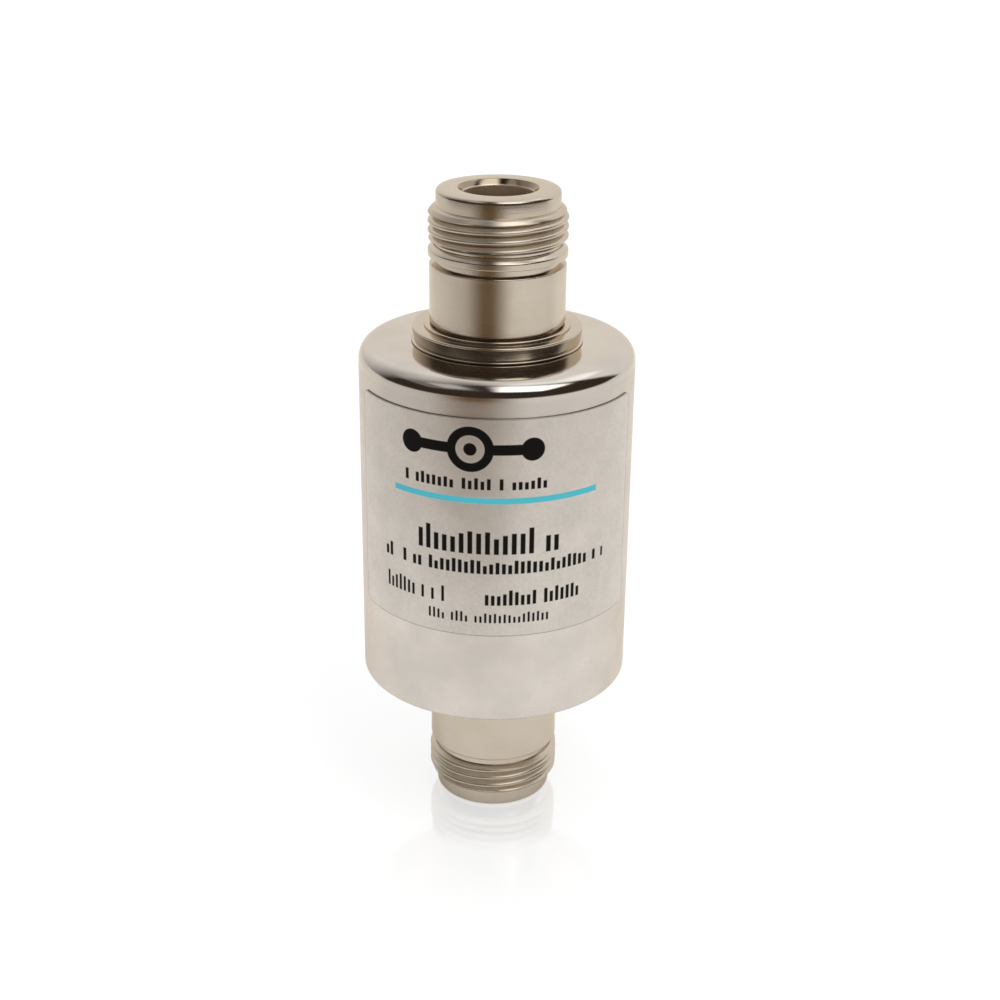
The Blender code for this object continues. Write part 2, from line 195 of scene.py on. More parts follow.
def weighted(made):
    """Large faces keep their own direction, so that light doesn't bleed off the edge rounding."""
    step = made.modifiers.new("face_weights", "WEIGHTED_NORMAL")
    step.keep_sharp = True
    step.weight = 100


# Jacks

def thread_radius(phase):
    """Radius at a phase of 0 to 1 along one pitch: a rounded crest in the middle, sharp roots."""
    return THREAD_R - THREAD_DEPTH * (1 - math.cos(math.pi * (phase - 0.5)))


def thread_column(angle, start, phases, turns):
    """Points of the thread under one direction, as (radius, depth) from the nose to the relief."""
    lead_steep, lead_step, lead_slope = 2.2, 0.3, 0.75
    end_step, end_slope = 0.12, 1.6
    root_r = NOSE_R - 0.02
    points = []
    along = start + angle / (2 * math.pi)
    for turn in range(-2, turns + 1):
        for phase in phases:
            depth = THREAD_START + (turn + phase + along) * THREAD_PITCH
            depth = min(max(depth, THREAD_START), THREAD_STOP)
            past = depth - THREAD_START
            place = (past / THREAD_PITCH - along) % 1.0
            lead = NOSE_R + min(lead_steep * past, lead_step + lead_slope * past)
            end = RELIEF_R + (THREAD_STOP - depth) * end_slope + end_step
            points.append((min(max(thread_radius(place), root_r), lead, end), depth))
    return points


def jack(name, below_thread, z_top, up, start):
    """Jack with a right-hand helical thread that starts at a share of a turn. below_thread is its
    outline from the relief on."""
    front = [
        (MOUTH_R, MOUTH_CHAMFER_DEPTH, 0.10), (MOUTH_R + MOUTH_CHAMFER, 0.0, 0.10),
        (NOSE_R, 0.0, 0.50), (NOSE_R, THREAD_START, 0.0),
    ]
    rear = [
        (RELIEF_R, THREAD_STOP, 0.0), *below_thread,
        (BEAD_HOLE_R, BEAD_SHOULDER, 0.0), (LINE_BORE_R, BEAD_SHOULDER, 0.0),
        (LINE_BORE_R, REFERENCE_DEPTH, 0.08), (MOUTH_R, REFERENCE_DEPTH, 0.0),
    ]
    outline = fillet_outline(front + rear)
    split = outline.index((NOSE_R, THREAD_START)) + 1
    phases = [step / PITCH_STEPS for step in range(PITCH_STEPS)]
    turns = math.ceil((THREAD_STOP - THREAD_START) / THREAD_PITCH)
    columns = []
    for step in range(TURN_STEPS + 1):
        angle = 2 * math.pi * step / TURN_STEPS
        thread = thread_column(angle, start, phases, turns)
        points = [(r, z_top - up * depth) for r, depth in outline[:split] + thread + outline[split:]]
        # Seen from its mouth, a right-hand thread runs clockwise as it goes deeper
        columns.append(upright_column((math.cos(angle), -math.sin(angle) * up), points))
    work = bmesh.new()
    join_columns(work, columns, closed=False)
    # The last column lies on the first, and the thread's clamped points lie on each other
    bmesh.ops.remove_doubles(work, verts=work.verts, dist=1e-7)
    bmesh.ops.dissolve_degenerate(work, edges=work.edges, dist=1e-7)
    made = mesh_object(name, work, crease=32.0)
    weighted(made)
    return made


def upper_jack():
    """Ring, groove, barrel, undercut, foot ring, flange with a thin lip, and spigot."""
    flange_seat = OVERALL - CAN_TOP - SEAT_GAP
    flange_top = flange_seat - FLANGE_HEIGHT
    foot_ring_top = flange_top - FOOT_RING_HEIGHT
    barrel_foot = foot_ring_top - UNDERCUT_HEIGHT
    spigot_end = OVERALL - CAN_TOP + CAN_TOP_WALL
    below = [
        (RELIEF_R, RING_TOP, 0.0), (THREAD_R - RING_CHAMFER, RING_TOP, 0.08),
        (THREAD_R, RING_TOP + RING_CHAMFER, 0.25), (THREAD_R, RING_FOOT, 0.15),
        (GROOVE_R, RING_FOOT, 0.0), (GROOVE_R, BARREL_TOP, 0.0),
        (BARREL_R, BARREL_TOP, 0.14), (BARREL_R, barrel_foot, 0.06),
        (UNDERCUT_R, barrel_foot, 0.0), (UNDERCUT_R, foot_ring_top, 0.0),
        (FOOT_RING_R, foot_ring_top, 0.20), (FOOT_RING_R, flange_top, 0.0),
        (FLANGE_R, flange_top, 0.18), (FLANGE_R, flange_top + 0.3, 0.0),
        (FLANGE_NECK_R, flange_seat - 0.24, 0.0), (FLANGE_LIP_R, flange_seat - 0.18, 0.14),
        (FLANGE_LIP_R, flange_seat, 0.0), (SPIGOT_R, flange_seat, 0.0),
        (SPIGOT_R, spigot_end, 0.0), (BEAD_HOLE_R, spigot_end, 0.0),
    ]
    return jack("upper_jack", below, OVERALL, 1, UPPER_THREAD_TURN)


def lower_jack():
    """Barrel up to the can's foot, and the plug that closes the can."""
    barrel_end = THREAD_STOP + RUN_OUT_GAP
    plug_r = CAVITY_R - PLUG_GAP
    plug_rear = CAN_FOOT + PLUG_HEIGHT
    below = [
        (RELIEF_R, barrel_end, 0.0), (BARREL_R, barrel_end, 0.30), (BARREL_R, CAN_FOOT, 0.15),
        (plug_r, CAN_FOOT, 0.25), (plug_r, plug_rear, 0.0), (BEAD_HOLE_R, plug_rear, 0.0),
    ]
    return jack("lower_jack", below, 0.0, -1, LOWER_THREAD_TURN)


# Can

def can():
    """Turned can with a round shoulder and a flat top, open at its foot."""
    corners = [
        (CAVITY_R, CAN_FOOT, 0.15), (CAN_R, CAN_FOOT, 0.40), (CAN_R, CAN_TOP, SHOULDER_R),
        (SPIGOT_HOLE_R, CAN_TOP, 0.0), (SPIGOT_HOLE_R, CAN_TOP - CAN_TOP_WALL, 0.0),
        (CAVITY_R, CAN_TOP - CAN_TOP_WALL, 0.0),
    ]
    made = turned("can", fillet_outline(corners, steps=14), CAN_TURN_STEPS)
    weighted(made)
    return made


# Contacts

def cut_slot(made, middle_z, angle):
    """Cut a slot right across the tip of a contact."""
    length, width, height = 8.0, 0.3, 6.8
    work = bmesh.new()
    size = Matrix.Diagonal((length * MM, width * MM, height * MM, 1.0))
    place = Matrix.Translation((0, 0, middle_z * MM)) @ Matrix.Rotation(angle, 4, "Z")
    bmesh.ops.create_cube(work, size=1.0, matrix=place @ size)
    mesh = bpy.data.meshes.new("slot_cutter")
    work.to_mesh(mesh)
    work.free()
    cutter = bpy.data.objects.new("slot_cutter", mesh)
    bpy.context.scene.collection.objects.link(cutter)
    step = made.modifiers.new("slot", "BOOLEAN")
    step.operation, step.solver, step.object = "DIFFERENCE", "EXACT", cutter
    bpy.context.view_layer.update()
    shape = made.evaluated_get(bpy.context.evaluated_depsgraph_get())
    cut = bpy.data.meshes.new_from_object(shape)
    made.modifiers.clear()
    made.data = cut
    bpy.data.objects.remove(cutter, do_unlink=True)


def socket_contact(name, z_top, up):
    """Split socket: rounded tip with a countersunk hole and four slots."""
    tip_depth, body_r, shoulder = 5.0, 1.52, 6.04
    hole_r, hole_depth, drill_point = 0.825, 4.5, 4.9
    sink, sink_depth = 0.28, 0.35
    neck_r, neck_end, stub_r, stub_end = 1.25, 12.34, 0.8, 15.04
    corners = [
        (hole_r, sink_depth, 0.0), (hole_r + sink, 0.0, 0.06), (body_r, 0.0, 0.30),
        (body_r, shoulder, 0.0), (neck_r, shoulder, 0.0), (neck_r, neck_end, 0.0),
        (stub_r, neck_end, 0.0), (stub_r, stub_end, 0.0), (0.0, stub_end, 0.0),
        (0.0, drill_point, 0.0), (hole_r, hole_depth, 0.0),
    ]
    tip_z = z_top - up * tip_depth
    outline = [(r, tip_z - up * depth) for r, depth in fillet_outline(corners)]
    made = turned(name, outline, CONTACT_TURN_STEPS)
    first_angle = math.pi / 28
    for angle in (first_angle, first_angle + math.pi / 2):
        cut_slot(made, tip_z, angle)
    made.data.shade_smooth()
    made.data.set_sharp_from_angle(angle=math.radians(30))
    return made


# Label

def label():
    """Foil sheet with rounded corners, bent round the can."""
    corner_angle = LABEL_CORNER / CAN_R
    straight = LABEL_HALF_ANGLE - corner_angle
    # Angle of each column, and how far its ends drop in from the sheet's upper and lower edge
    drops = []
    for step in range(LABEL_CORNER_STEPS + 1):
        slide = math.pi / 2 * (1 - step / LABEL_CORNER_STEPS)
        drop = LABEL_CORNER * (1 - math.cos(slide))
        drops.append((-straight - corner_angle * math.sin(slide), drop))
    corner = list(drops)
    for step in range(1, LABEL_FRONT_STEPS):
        drops.append((-straight + 2 * straight * step / LABEL_FRONT_STEPS, 0.0))
    drops += [(-angle, drop) for angle, drop in reversed(corner)]
    columns = []
    for angle, drop in drops:
        low, high = LABEL_FOOT_Z + drop, LABEL_TOP_Z - drop
        section = [
            (LABEL_INNER_R, low), (LABEL_OUTER_R - LABEL_EDGE, low),
            (LABEL_OUTER_R, low + LABEL_EDGE), (LABEL_OUTER_R, high - LABEL_EDGE),
            (LABEL_OUTER_R - LABEL_EDGE, high), (LABEL_INNER_R, high),
        ]
        columns.append(upright_column((math.sin(angle), -math.cos(angle)), section))
    work = bmesh.new()
    rows = join_columns(work, columns, closed=False)
    work.faces.new(rows[0])
    work.faces.new(rows[-1])
    made = mesh_object("foil_label", work)
    weighted(made)
    return made


# Node helpers for the finishes and the surroundings

class Nodes:
    """Short calls for the nodes of one material or world."""

    def __init__(self, tree):
        self.nodes = tree.nodes
        self.links = tree.links

    def plug(self, value, socket):
        if isinstance(value, bpy.types.NodeSocket):
            self.links.new(value, socket)
        else:
            socket.default_value = value

    def math(self, operation, *values):
        node = self.nodes.new("ShaderNodeMath")
        node.operation = operation
        for value, socket in zip(values, node.inputs):
            self.plug(value, socket)
        return node.outputs[0]

    def coordinates(self, kind):
        return self.nodes.new("ShaderNodeTexCoord").outputs[kind]

    def position(self):
        return self.coordinates("Object")

    def split(self, vector):
        node = self.nodes.new("ShaderNodeSeparateXYZ")
        self.links.new(vector, node.inputs[0])
        return node.outputs

    def join(self, x, y, z):
        node = self.nodes.new("ShaderNodeCombineXYZ")
        for value, socket in zip((x, y, z), node.inputs):
            self.plug(value, socket)
        return node.outputs[0]

    def noise(self, vector, scale, detail, roughness):
        node = self.nodes.new("ShaderNodeTexNoise")
        self.links.new(vector, node.inputs["Vector"])
        node.inputs["Scale"].default_value = scale
        node.inputs["Detail"].default_value = detail
        node.inputs["Roughness"].default_value = roughness
        return node.outputs[0]

    def span(self, value, low, high, new_low, new_high, smooth=False):
        node = self.nodes.new("ShaderNodeMapRange")
        node.interpolation_type = "SMOOTHSTEP" if smooth else "LINEAR"
        for entry, socket in zip((value, low, high, new_low, new_high), node.inputs):
            self.plug(entry, socket)
        return node.outputs[0]

    def mix(self, share, first, second):
        """Mix two colours, each a socket or a triple."""
        node = self.nodes.new("ShaderNodeMix")
        node.data_type = "RGBA"
        self.plug(share, node.inputs["Factor"])
        for color, socket in ((first, node.inputs["A"]), (second, node.inputs["B"])):
            self.plug(color if isinstance(color, bpy.types.NodeSocket) else (*color, 1.0), socket)
        return node.outputs["Result"]

    def reach(self, x, y):
        """Distance from the axis."""
        squares = self.math("MULTIPLY", x, x), self.math("MULTIPLY", y, y)
        return self.math("SQRT", self.math("ADD", *squares))

    def window(self, value, low, high, soft):
        """1 between low and high, with soft edges, and 0 outside."""
        rise = self.span(value, low - soft, low + soft, 0.0, 1.0, smooth=True)
        fall = self.span(value, high - soft, high + soft, 1.0, 0.0, smooth=True)
        return self.math("MULTIPLY", rise, fall)

    def ray(self, kind):
        """1 where the ray is of the kind, such as Is Camera Ray."""
        return self.nodes.new("ShaderNodeLightPath").outputs[kind]

    def blend(self, share, first, second):
        """Mix two shaders."""
        node = self.nodes.new("ShaderNodeMixShader")
        self.plug(share, node.inputs[0])
        self.links.new(first, node.inputs[1])
        self.links.new(second, node.inputs[2])
        return node.outputs[0]


class Finish(Nodes):
    """A material of one Principled shader."""

    BUMP_HEIGHT = 0.02 * MM

    def __init__(self, name):
        self.material = bpy.data.materials.new(name)
        self.material.use_nodes = True
        super().__init__(self.material.node_tree)
        self.shader = self.nodes["Principled BSDF"]

    def set(self, **values):
        for name, value in values.items():
            self.shader.inputs[name.replace("_", " ")].default_value = value

    def drive(self, name, value):
        """Feed a socket of the shader."""
        self.plug(value, self.shader.inputs[name])

    def bump(self, height, strength):
        node = self.nodes.new("ShaderNodeBump")
        node.inputs["Strength"].default_value = strength
        node.inputs["Distance"].default_value = self.BUMP_HEIGHT
        self.links.new(height, node.inputs["Height"])
        self.drive("Normal", node.outputs[0])

    def turned_position(self):
        """Position drawn out round the axis, so that a noise gives turning lines."""
        round_scale, outward_scale, upward_scale = 50.0, 830.0, 1000.0
        x, y, z = self.split(self.position())
        outward = self.math("MULTIPLY", self.reach(x, y), outward_scale)
        upward = self.math("MULTIPLY", z, upward_scale)
        drawn = [self.math("MULTIPLY", axis, round_scale) for axis in (x, y)]
        return self.join(*drawn, self.math("ADD", outward, upward))


def plated(name, colors, roughness, lines, line_scale, grain_share=0.3):
    """Plated metal: turning lines, fine grain, and clouds between two colours and two
    roughnesses."""
    finish = Finish(name)
    place = finish.position()
    clouds = finish.noise(place, 160.0, 4.0, 0.6)
    rings = finish.noise(finish.turned_position(), line_scale, 1.0, 0.5)
    grain = finish.noise(place, 3400.0, 3.0, 0.65)
    fine = finish.math("MULTIPLY", grain, grain_share)
    tone = finish.math("ADD", finish.math("MULTIPLY", clouds, 1 - grain_share), fine)
    finish.drive("Base Color", finish.mix(finish.span(tone, 0.35, 0.65, 0.0, 1.0), *colors))
    mixed = finish.math("ADD", finish.math("MULTIPLY", clouds, 0.6), finish.math("MULTIPLY", rings, 0.4))
    finish.drive("Roughness", finish.span(mixed, 0.3, 0.7, *roughness))
    finish.bump(finish.math("ADD", rings, fine), lines)
    finish.set(Metallic=1.0, Specular_Tint=(0.90, 0.84, 0.76, 1.0))
    return finish


def change_roughness(finish, share, roughness):
    """Bring the roughness to another value where the share is 1."""
    before = finish.shader.inputs["Roughness"].links[0].from_socket
    rest = finish.math("MULTIPLY", before, finish.math("SUBTRACT", 1.0, share))
    finish.drive("Roughness", finish.math("ADD", rest, finish.math("MULTIPLY", share, roughness)))


def jack_nickel():
    """Polished outside, duller in the thread, bright with painted brown shade on the mouth's chamfer, and
    as bored inside: rougher, with painted light near the mouth and painted shade deeper in."""
    finish = plated("jack_nickel", ((0.60, 0.53, 0.44), (0.54, 0.47, 0.38)), (0.13, 0.24), 0.25, 5.0)
    x, y, z = finish.split(finish.position())
    reach = finish.reach(x, y)
    middle = OVERALL / 2
    from_middle = finish.math("ABSOLUTE", finish.math("SUBTRACT", z, middle * MM))

    def inside(radius):
        return finish.span(reach, (radius + 0.02) * MM, (radius + 0.12) * MM, 1.0, 0.0)

    bore = inside(MOUTH_R)
    chamfer = inside(MOUTH_R + MOUTH_CHAMFER)
    # How far down the bore the painted shade has grown
    bore_shade_depth = finish.span(from_middle, (middle - 2.6) * MM, (middle - 0.5) * MM, 1.0, 0.0)
    thread_range = (middle - THREAD_STOP) * MM, (middle - THREAD_START) * MM
    in_thread = finish.window(from_middle, *thread_range, 0.1 * MM)
    thread = finish.math("MULTIPLY", in_thread, finish.span(reach, 6.0 * MM, 6.5 * MM, 0.0, 1.0))

    change_roughness(finish, thread, 0.30)
    change_roughness(finish, chamfer, 0.09)
    change_roughness(finish, bore, 0.5)
    outer_color = finish.shader.inputs["Base Color"].links[0].from_socket
    # Painted shade: the mouth's chamfer takes a darker brown colour than the outside
    chamfer_shade_color = finish.mix(chamfer, outer_color, (0.34, 0.27, 0.20))
    # Painted light and shade in the bore: a light colour near the mouth that darkens deeper in
    bore_light_and_shade = finish.mix(bore_shade_depth, (0.90, 0.76, 0.60), (0.46, 0.37, 0.27))
    finish.drive("Base Color", finish.mix(bore, chamfer_shade_color, bore_light_and_shade))
    return finish.material


def can_nickel():
    """Brushed on the wall, polished on the round shoulder and the flat top."""
    colors = (0.65, 0.60, 0.54), (0.59, 0.545, 0.49)
    finish = plated("can_nickel", colors, (0.25, 0.35), 0.10, 1.2, grain_share=0.0)
    z = finish.split(finish.position())[2]
    polish_range = (CAN_TOP - 2.5) * MM, (CAN_TOP - 1.7) * MM
    change_roughness(finish, finish.span(z, *polish_range, 0.0, 1.0, smooth=True), 0.10)
    return finish.material


def simple_finish(name, colors, metallic, roughness, scale=900.0):
    """Mottled finish for moulded, turned or drawn pieces."""
    finish = Finish(name)
    place = finish.position()
    clouds = finish.noise(place, scale / 4, 3.0, 0.55)
    grain = finish.noise(place, scale * 4, 3.0, 0.6)
    finish.drive("Base Color", finish.mix(finish.span(clouds, 0.3, 0.7, 0.0, 1.0), *colors))
    finish.drive("Roughness", finish.span(grain, 0.25, 0.75, *roughness))
    finish.bump(grain, 0.3)
    finish.set(Metallic=metallic)
    return finish.material


class Print(Finish):
    """Printed shapes on the label, in millimetres along the arc (u, 0 in front) and in height (v)."""

    GAP_CHANCE = 0.13
    LOWEST_DASH = 0.6

    def __init__(self, name):
        super().__init__(name)
        x, y, z = self.split(self.position())
        angle = self.math("ARCTAN2", x, self.math("MULTIPLY", y, -1.0))
        self.u = self.math("MULTIPLY", angle, LABEL_OUTER_R)
        self.v = self.math("DIVIDE", z, MM)

    def box(self, u_range, v_range):
        return self.math("MULTIPLY", self.window(self.u, *u_range, PRINT_EDGE),
                         self.window(self.v, *v_range, PRINT_EDGE))

    def away(self, centre):
        """Distance from a place on the label."""
        u = self.math("SUBTRACT", self.u, centre[0])
        v = self.math("SUBTRACT", self.v, centre[1])
        return self.reach(u, v)

    def ring(self, centre, inner, outer):
        return self.window(self.away(centre), inner, outer, PRINT_EDGE)

    def dot(self, centre, radius):
        return self.span(self.away(centre), radius - PRINT_EDGE, radius + PRINT_EDGE, 1.0, 0.0, smooth=True)

    def dashes(self, u_range, v_range, pitch, share, seed):
        """Row of upright dashes of uneven height with gaps, as wide as the line it stands for."""
        step = self.math("DIVIDE", self.math("SUBTRACT", self.u, u_range[0]), pitch)
        noise = self.nodes.new("ShaderNodeTexWhiteNoise")
        noise.noise_dimensions = "1D"
        self.plug(self.math("ADD", self.math("FLOOR", step), seed), noise.inputs["W"])
        chance = noise.outputs["Value"]
        lowest = v_range[0] + self.LOWEST_DASH * (v_range[1] - v_range[0])
        top = self.span(chance, 0.2, 0.9, lowest, v_range[1])
        below_top = self.span(self.math("SUBTRACT", top, self.v), -PRINT_EDGE, PRINT_EDGE, 0.0, 1.0)
        dash = self.window(self.math("FRACT", step), (1 - share) / 2, (1 + share) / 2, PRINT_EDGE / pitch)
        kept = self.math("GREATER_THAN", chance, self.GAP_CHANCE)
        shape = self.math("MULTIPLY", self.math("MULTIPLY", dash, kept), below_top)
        return self.math("MULTIPLY", shape, self.box(u_range, v_range))

    def rim(self, half_width, low, high, corner, width):
        """Thin line along the edge of a sheet with rounded corners."""
        across = self.math("SUBTRACT", self.math("ABSOLUTE", self.u), half_width - corner)
        middle, half_height = (low + high) / 2, (high - low) / 2
        off_middle = self.math("ABSOLUTE", self.math("SUBTRACT", self.v, middle))
        along = self.math("SUBTRACT", off_middle, half_height - corner)
        round_part = self.reach(self.math("MAXIMUM", across, 0.0), self.math("MAXIMUM", along, 0.0))
        flat_part = self.math("MINIMUM", self.math("MAXIMUM", across, along), 0.0)
        from_edge = self.math("ADD", round_part, flat_part)
        return self.span(from_edge, corner - 1.5 * width, corner - width, 0.0, 1.0)

    def either(self, shapes):
        """All the shapes as one."""
        total = shapes[0]
        for shape in shapes[1:]:
            total = self.math("MAXIMUM", total, shape)
        return total


def tube_symbol(sheet):
    """Circuit symbol: a gas tube in a line between two terminals."""
    left, middle, right, height = -9.80, -2.85, 4.10, 51.05
    line = height - 0.62, height + 0.62
    line_gap, terminal_r, electrode_r = 2.1, 1.35, 0.75
    return sheet.either([
        sheet.box((left, middle - line_gap), line),
        sheet.box((middle + line_gap, right), line),
        sheet.ring((middle, height), 1.6, 2.65), sheet.dot((middle, height), electrode_r),
        sheet.dot((left, height), terminal_r), sheet.dot((right, height), terminal_r),
    ])


def label_foil():
    """Satin foil with printed shapes: a circuit symbol, a teal rule and rows of plain dashes."""
    sheet = Print("label_foil")
    place = sheet.position()
    ink = sheet.either([
        tube_symbol(sheet),
        sheet.dashes((-10.9, 5.9), (46.35, 47.75), 0.70, 0.62, 3.0),
        sheet.dashes((-9.25, 7.6), (38.6, 41.8), 0.99, 0.58, 24.0),
        sheet.dashes((-14.25, 13.9), (36.2, 37.9), 0.71, 0.64, 61.0),
        sheet.dashes((-14.0, -5.1), (32.3, 34.4), 0.64, 0.54, 90.0),
        sheet.dashes((-1.9, 10.2), (32.3, 34.3), 0.68, 0.62, 122.0),
        sheet.dashes((-7.9, 6.9), (30.1, 31.4), 0.55, 0.50, 151.0),
    ])
    teal = sheet.box((-12.4, 12.4), (44.7, 45.4))
    rim = sheet.rim(LABEL_HALF_ANGLE * LABEL_OUTER_R, LABEL_FOOT_Z, LABEL_TOP_Z, LABEL_CORNER, 0.10)

    grain = sheet.noise(place, 2600.0, 3.0, 0.7)
    clouds = sheet.noise(place, 220.0, 3.0, 0.6)
    tone = sheet.math("ADD", sheet.math("MULTIPLY", clouds, 0.6), sheet.math("MULTIPLY", grain, 0.4))
    base = sheet.mix(sheet.span(tone, 0.35, 0.65, 0.0, 1.0), (0.64, 0.59, 0.53), (0.54, 0.50, 0.45))
    base = sheet.mix(sheet.math("MULTIPLY", rim, 0.6), base, (0.20, 0.18, 0.15))
    base = sheet.mix(teal, base, (0.07, 0.40, 0.47))
    base = sheet.mix(ink, base, (0.005, 0.004, 0.003))
    sheet.drive("Base Color", base)
    printed = sheet.math("MAXIMUM", teal, ink)
    sheet.drive("Metallic", sheet.span(printed, 0.0, 1.0, 0.9, 0.0))
    rough = sheet.span(grain, 0.3, 0.7, 0.28, 0.40)
    sheet.drive("Roughness", sheet.math("ADD", rough, sheet.math("MULTIPLY", printed, 0.15)))
    sheet.bump(grain, 0.15)
    sheet.set(Specular_IOR_Level=0.06)
    return sheet.material


# Build the pieces and dress them

def dress(made, material, slot, *nodes):
    made.data.materials.clear()
    made.data.materials.append(material)
    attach(made, "root")
    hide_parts(*nodes)


nickel = jack_nickel()
gold = simple_finish("contact_gold", ((0.86, 0.63, 0.28), (0.80, 0.56, 0.22)), 1.0, (0.14, 0.26))
dress(can(), can_nickel(), "brushed_nickel", "housing")
dress(upper_jack(), nickel, "nickel", "upper_connector_shell")
dress(lower_jack(), nickel, "nickel", "lower_connector_shell")
dress(socket_contact("upper_socket", OVERALL, 1), gold, "gold", "upper_contact")
dress(socket_contact("lower_socket", 0.0, -1), gold, "gold", "lower_contact")
dress(label(), label_foil(), "foil", "label")

NODE_FINISHES = {
    "silver": simple_finish("rod_silver", ((0.88, 0.87, 0.84), (0.80, 0.78, 0.74)), 1.0, (0.20, 0.34)),
    "ptfe": simple_finish("bead_ptfe", ((0.84, 0.83, 0.79), (0.78, 0.77, 0.73)), 0.0, (0.35, 0.5), 500.0),
    "rubber": simple_finish("seal_rubber", ((0.020, 0.020, 0.021), (0.032, 0.031, 0.030)), 0.0, (0.5, 0.7)),
    "ceramic": simple_finish("tube_ceramic", ((0.82, 0.80, 0.75), (0.76, 0.73, 0.68)), 0.0, (0.35, 0.5)),
    "steel": simple_finish("spring_steel", ((0.56, 0.56, 0.57), (0.46, 0.46, 0.47)), 1.0, (0.22, 0.38)),
    "brass": simple_finish("block_brass", ((0.80, 0.62, 0.32), (0.72, 0.54, 0.27)), 1.0, (0.22, 0.38)),
}
for entry in frame["record"]["subparts"]:
    node = frame["nodes"][entry["node"]]
    if entry["material_slot"] in NODE_FINISHES:
        node.material_slots[0].material = NODE_FINISHES[entry["material_slot"]]


# Stage: white paper and white surroundings, of which polished metal sees a darker front with lights

DARK = (0.040, 0.029, 0.021)
WHITE = (1.0, 1.0, 1.0)
PAPER = (0.94, 0.94, 0.94)
# Brown of the painted shade sheet that lies on the table
SHADE_SHEET_BROWN = (0.150, 0.098, 0.052)

# Directions lower than this count as this high, so that the ceiling ends somewhere
HORIZON_HEIGHT = 0.02

# Ranges to the right and to the back in units of the ceiling's height, soft edge and strength
CEILING_LIGHTS = [
    ((0.0, 1.08), (-1.26, -0.28), 0.14, 2.2),
    ((-0.95, -0.42), (-0.85, -0.25), 0.10, 0.42),
    ((-1.7, -0.35), (-1.1, 0.3), 0.20, 0.18),
    ((0.02, 0.95), (-0.35, 0.15), 0.15, 0.28),
    ((0.50, 1.00), (0.10, 0.65), 0.14, 0.45),
]


def studio_world():
    """White for the camera and for plain light. Gloss sees a dark room front under a lit ceiling."""
    world = bpy.data.worlds.new("studio")
    bpy.context.scene.world = world
    world.use_nodes = True
    kit = Nodes(world.node_tree)
    x, y, z = kit.split(kit.coordinates("Generated"))
    height = kit.math("MAXIMUM", z, HORIZON_HEIGHT)
    across = kit.math("DIVIDE", x, height)
    along = kit.math("DIVIDE", y, height)

    def brightening(rise, start, full):
        """Dark in front, white at the back, and the earlier the higher it is."""
        return kit.span(kit.math("ADD", y, kit.math("MULTIPLY", height, rise)), start, full, 0.0, 1.0)

    # On the left the room brightens more slowly
    left = brightening(rise=0.5, start=0.18, full=0.97)
    right = brightening(rise=0.6, start=0.36, full=0.49)
    side = kit.span(x, -0.2, 0.2, 0.0, 1.0)
    left_part = kit.math("MULTIPLY", left, kit.math("SUBTRACT", 1.0, side))
    total = kit.math("ADD", left_part, kit.math("MULTIPLY", right, side))
    for across_range, along_range, soft, strength in CEILING_LIGHTS:
        in_across = kit.window(across, *across_range, soft)
        in_along = kit.window(along, *along_range, soft)
        light = kit.math("MULTIPLY", kit.math("MULTIPLY", in_across, in_along), strength)
        total = kit.math("ADD", total, light)

    room = kit.nodes["Background"]
    kit.plug(kit.mix(total, DARK, WHITE), room.inputs["Color"])
    kit.plug(kit.math("MAXIMUM", total, 1.0), room.inputs["Strength"])
    plain = kit.nodes.new("ShaderNodeBackground")
    plain.inputs["Color"].default_value = (*WHITE, 1.0)
    not_camera = kit.math("SUBTRACT", 1.0, kit.ray("Is Camera Ray"))
    only_gloss = kit.math("MULTIPLY", kit.ray("Is Glossy Ray"), not_camera)
    seen = kit.blend(only_gloss, plain.outputs[0], room.outputs[0])
    kit.plug(seen, kit.nodes["World Output"].inputs[0])


def stage_mesh(name, corners, material):
    mesh = bpy.data.meshes.new(name)
    mesh.from_pydata([tuple(c * MM for c in corner) for corner in corners], [], [(0, 1, 2, 3)])
    mesh.materials.append(material)
    made = bpy.data.objects.new(name, mesh)
    bpy.context.scene.collection.objects.link(made)
    return made


def square(half, z):
    return [(-half, -half, z), (half, -half, z), (half, half, z), (-half, half, z)]


def matte(name, color):
    """Material of one matte colour, with the node helper and the shader to build on."""
    material = bpy.data.materials.new(name)
    material.use_nodes = True
    kit = Nodes(material.node_tree)
    shader = kit.nodes["Principled BSDF"]
    shader.inputs["Base Color"].default_value = (*color, 1.0)
    shader.inputs["Roughness"].default_value = 1.0
    shader.inputs["Specular IOR Level"].default_value = 0.0
    return material, kit, shader


def paper_floor():
    """White paper under a faint gloss, which only the camera sees."""
    material, kit, paper = matte("floor_paper", PAPER)
    glow = kit.nodes.new("ShaderNodeEmission")
    glow.inputs["Strength"].default_value = 1.05
    gloss = kit.nodes.new("ShaderNodeBsdfGlossy")
    gloss.inputs["Color"].default_value = (*WHITE, 1.0)
    gloss.inputs["Roughness"].default_value = 0.08
    camera_sees = kit.ray("Is Camera Ray")
    lit = kit.blend(kit.math("MULTIPLY", camera_sees, 0.7), paper.outputs[0], glow.outputs[0])

    # The gloss is strongest beside the foot and fades out 37 mm from the axis
    x, y, _ = kit.split(kit.position())
    reach = kit.reach(x, y)
    close = kit.span(reach, 12.5 * MM, 17.0 * MM, 0.14, 0.0, smooth=True)
    faded = kit.math("ADD", close, kit.span(reach, 12.0 * MM, 37.0 * MM, 0.11, 0.0))
    seen = kit.blend(kit.math("MULTIPLY", camera_sees, faded), lit, gloss.outputs[0])
    kit.plug(seen, kit.nodes["Material Output"].inputs[0])
    stage_mesh("floor", square(3000.0, 0.0), material)


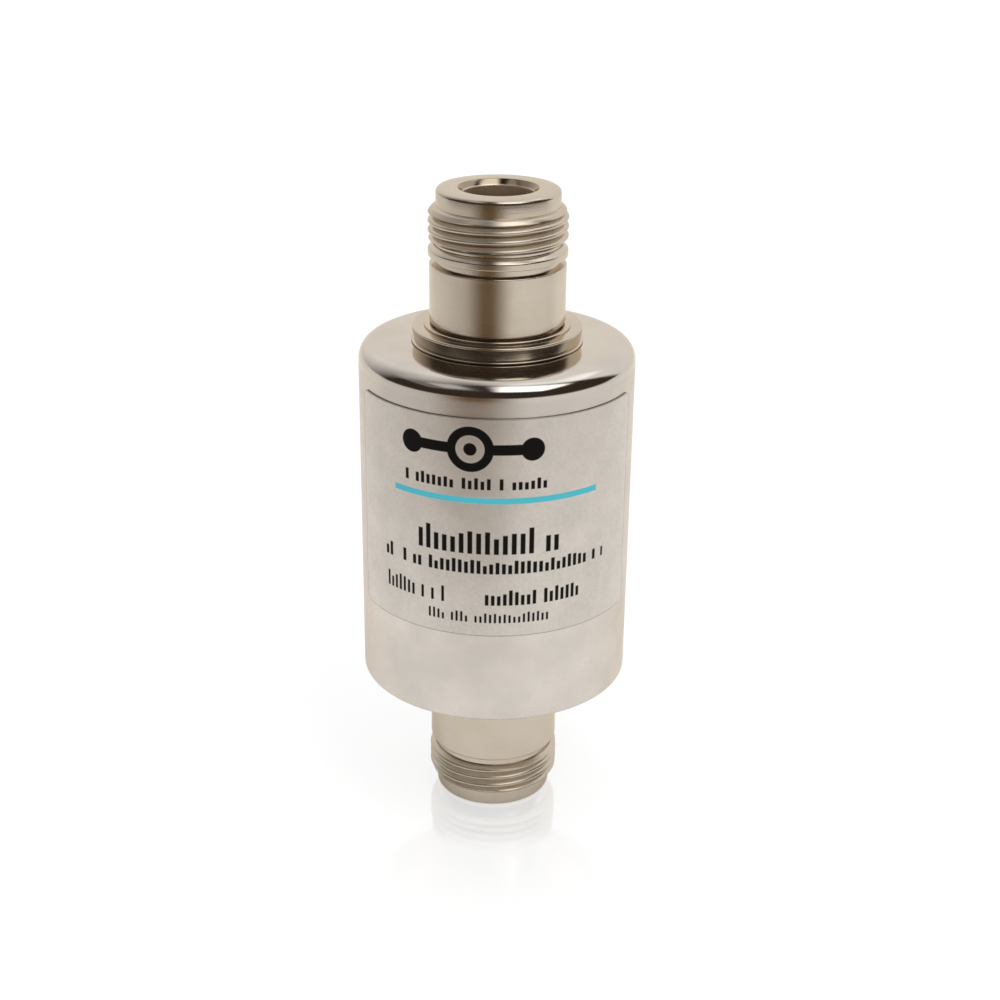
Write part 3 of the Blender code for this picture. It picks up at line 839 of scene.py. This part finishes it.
def table_shade():
    """Soft brown shade on the table in front, a little left, that only polished metal sees."""
    material, kit, shade = matte("table_shade", SHADE_SHEET_BROWN)
    clear = kit.nodes.new("ShaderNodeBsdfTransparent")
    x, y, _ = kit.split(kit.position())
    reach = kit.reach(x, y)
    # Degrees round the axis, 0 in front and positive to the right
    angle = kit.math("DEGREES", kit.math("ARCTAN2", x, kit.math("MULTIPLY", y, -1.0)))

    # Strip that starts at 75 mm, full a little left of the front
    wide_left = kit.span(angle, -150.0, -60.0, 0.0, 0.42)
    left = kit.math("ADD", wide_left, kit.span(angle, -62.0, -20.0, 0.0, 0.58, smooth=True))
    right = kit.span(angle, -12.0, 30.0, 1.0, 0.2, smooth=True)
    front = kit.span(angle, 95.0, 125.0, 1.0, 0.0, smooth=True)
    near = kit.span(reach, 75.0 * MM, 150.0 * MM, 0.0, 1.0, smooth=True)
    strip = kit.math("MULTIPLY", kit.math("MULTIPLY", left, right), kit.math("MULTIPLY", front, near))

    # Farther out the whole front half darkens
    far_out = kit.span(reach, 250.0 * MM, 1100.0 * MM, 0.0, 0.85)
    far = kit.math("MULTIPLY", far_out, kit.window(angle, -105.0, 102.0, 8.0))
    seen = kit.blend(kit.math("MAXIMUM", strip, far), clear.outputs[0], shade.outputs[0])
    kit.plug(seen, kit.nodes["Material Output"].inputs[0])
    made = stage_mesh("table_shade", square(2990.0, 0.4), material)
    made.visible_camera = False
    made.visible_diffuse = False
    made.visible_transmission = False
    made.visible_shadow = False


def key_lamp():
    """Soft lamp high up in front on the right. Metal doesn't mirror it."""
    lamp = bpy.data.lights.new("key", "AREA")
    lamp.shape, lamp.size, lamp.energy = "DISK", 0.35, 1.2
    holder = bpy.data.objects.new("key", lamp)
    holder.location = (0.25, -0.35, 0.6)
    towards = Vector((0, 0, 0.04)) - holder.location
    holder.rotation_euler = towards.to_track_quat("-Z", "Y").to_euler()
    holder.visible_glossy = False
    bpy.context.scene.collection.objects.link(holder)


studio_world()
paper_floor()
table_shade()
key_lamp()

# Camera at the photograph's place: 204 mm from the axis and 22.9 degrees down
PHOTO_WIDTH = 1000.0
FOCAL_PIXELS = 1701.5
REACH = 204.0
PITCH = math.radians(22.913)
ROLL = math.radians(0.577)
AIM_Z = 38.39
AXIS_PIXEL = 495.5
SENSOR_WIDTH = 36.0

camera_data = bpy.data.cameras.new("camera")
camera_data.sensor_width = SENSOR_WIDTH
camera_data.lens = SENSOR_WIDTH * FOCAL_PIXELS / PHOTO_WIDTH
camera_data.shift_x = (PHOTO_WIDTH / 2 - AXIS_PIXEL) / PHOTO_WIDTH
camera_data.clip_start, camera_data.clip_end = 0.01, 20.0
camera = bpy.data.objects.new("camera", camera_data)
bpy.context.scene.collection.objects.link(camera)
back = Vector((0, -math.cos(PITCH), math.sin(PITCH)))
camera.location = Vector((0, 0, AIM_Z * MM)) + back * REACH * MM
camera.rotation_mode = "QUATERNION"
facing = (-back).to_track_quat("-Z", "Y")
camera.rotation_quaternion = facing @ Matrix.Rotation(ROLL, 3, "Z").to_quaternion()
bpy.context.scene.camera = camera

bpy.context.scene.view_settings.view_transform = "Standard"
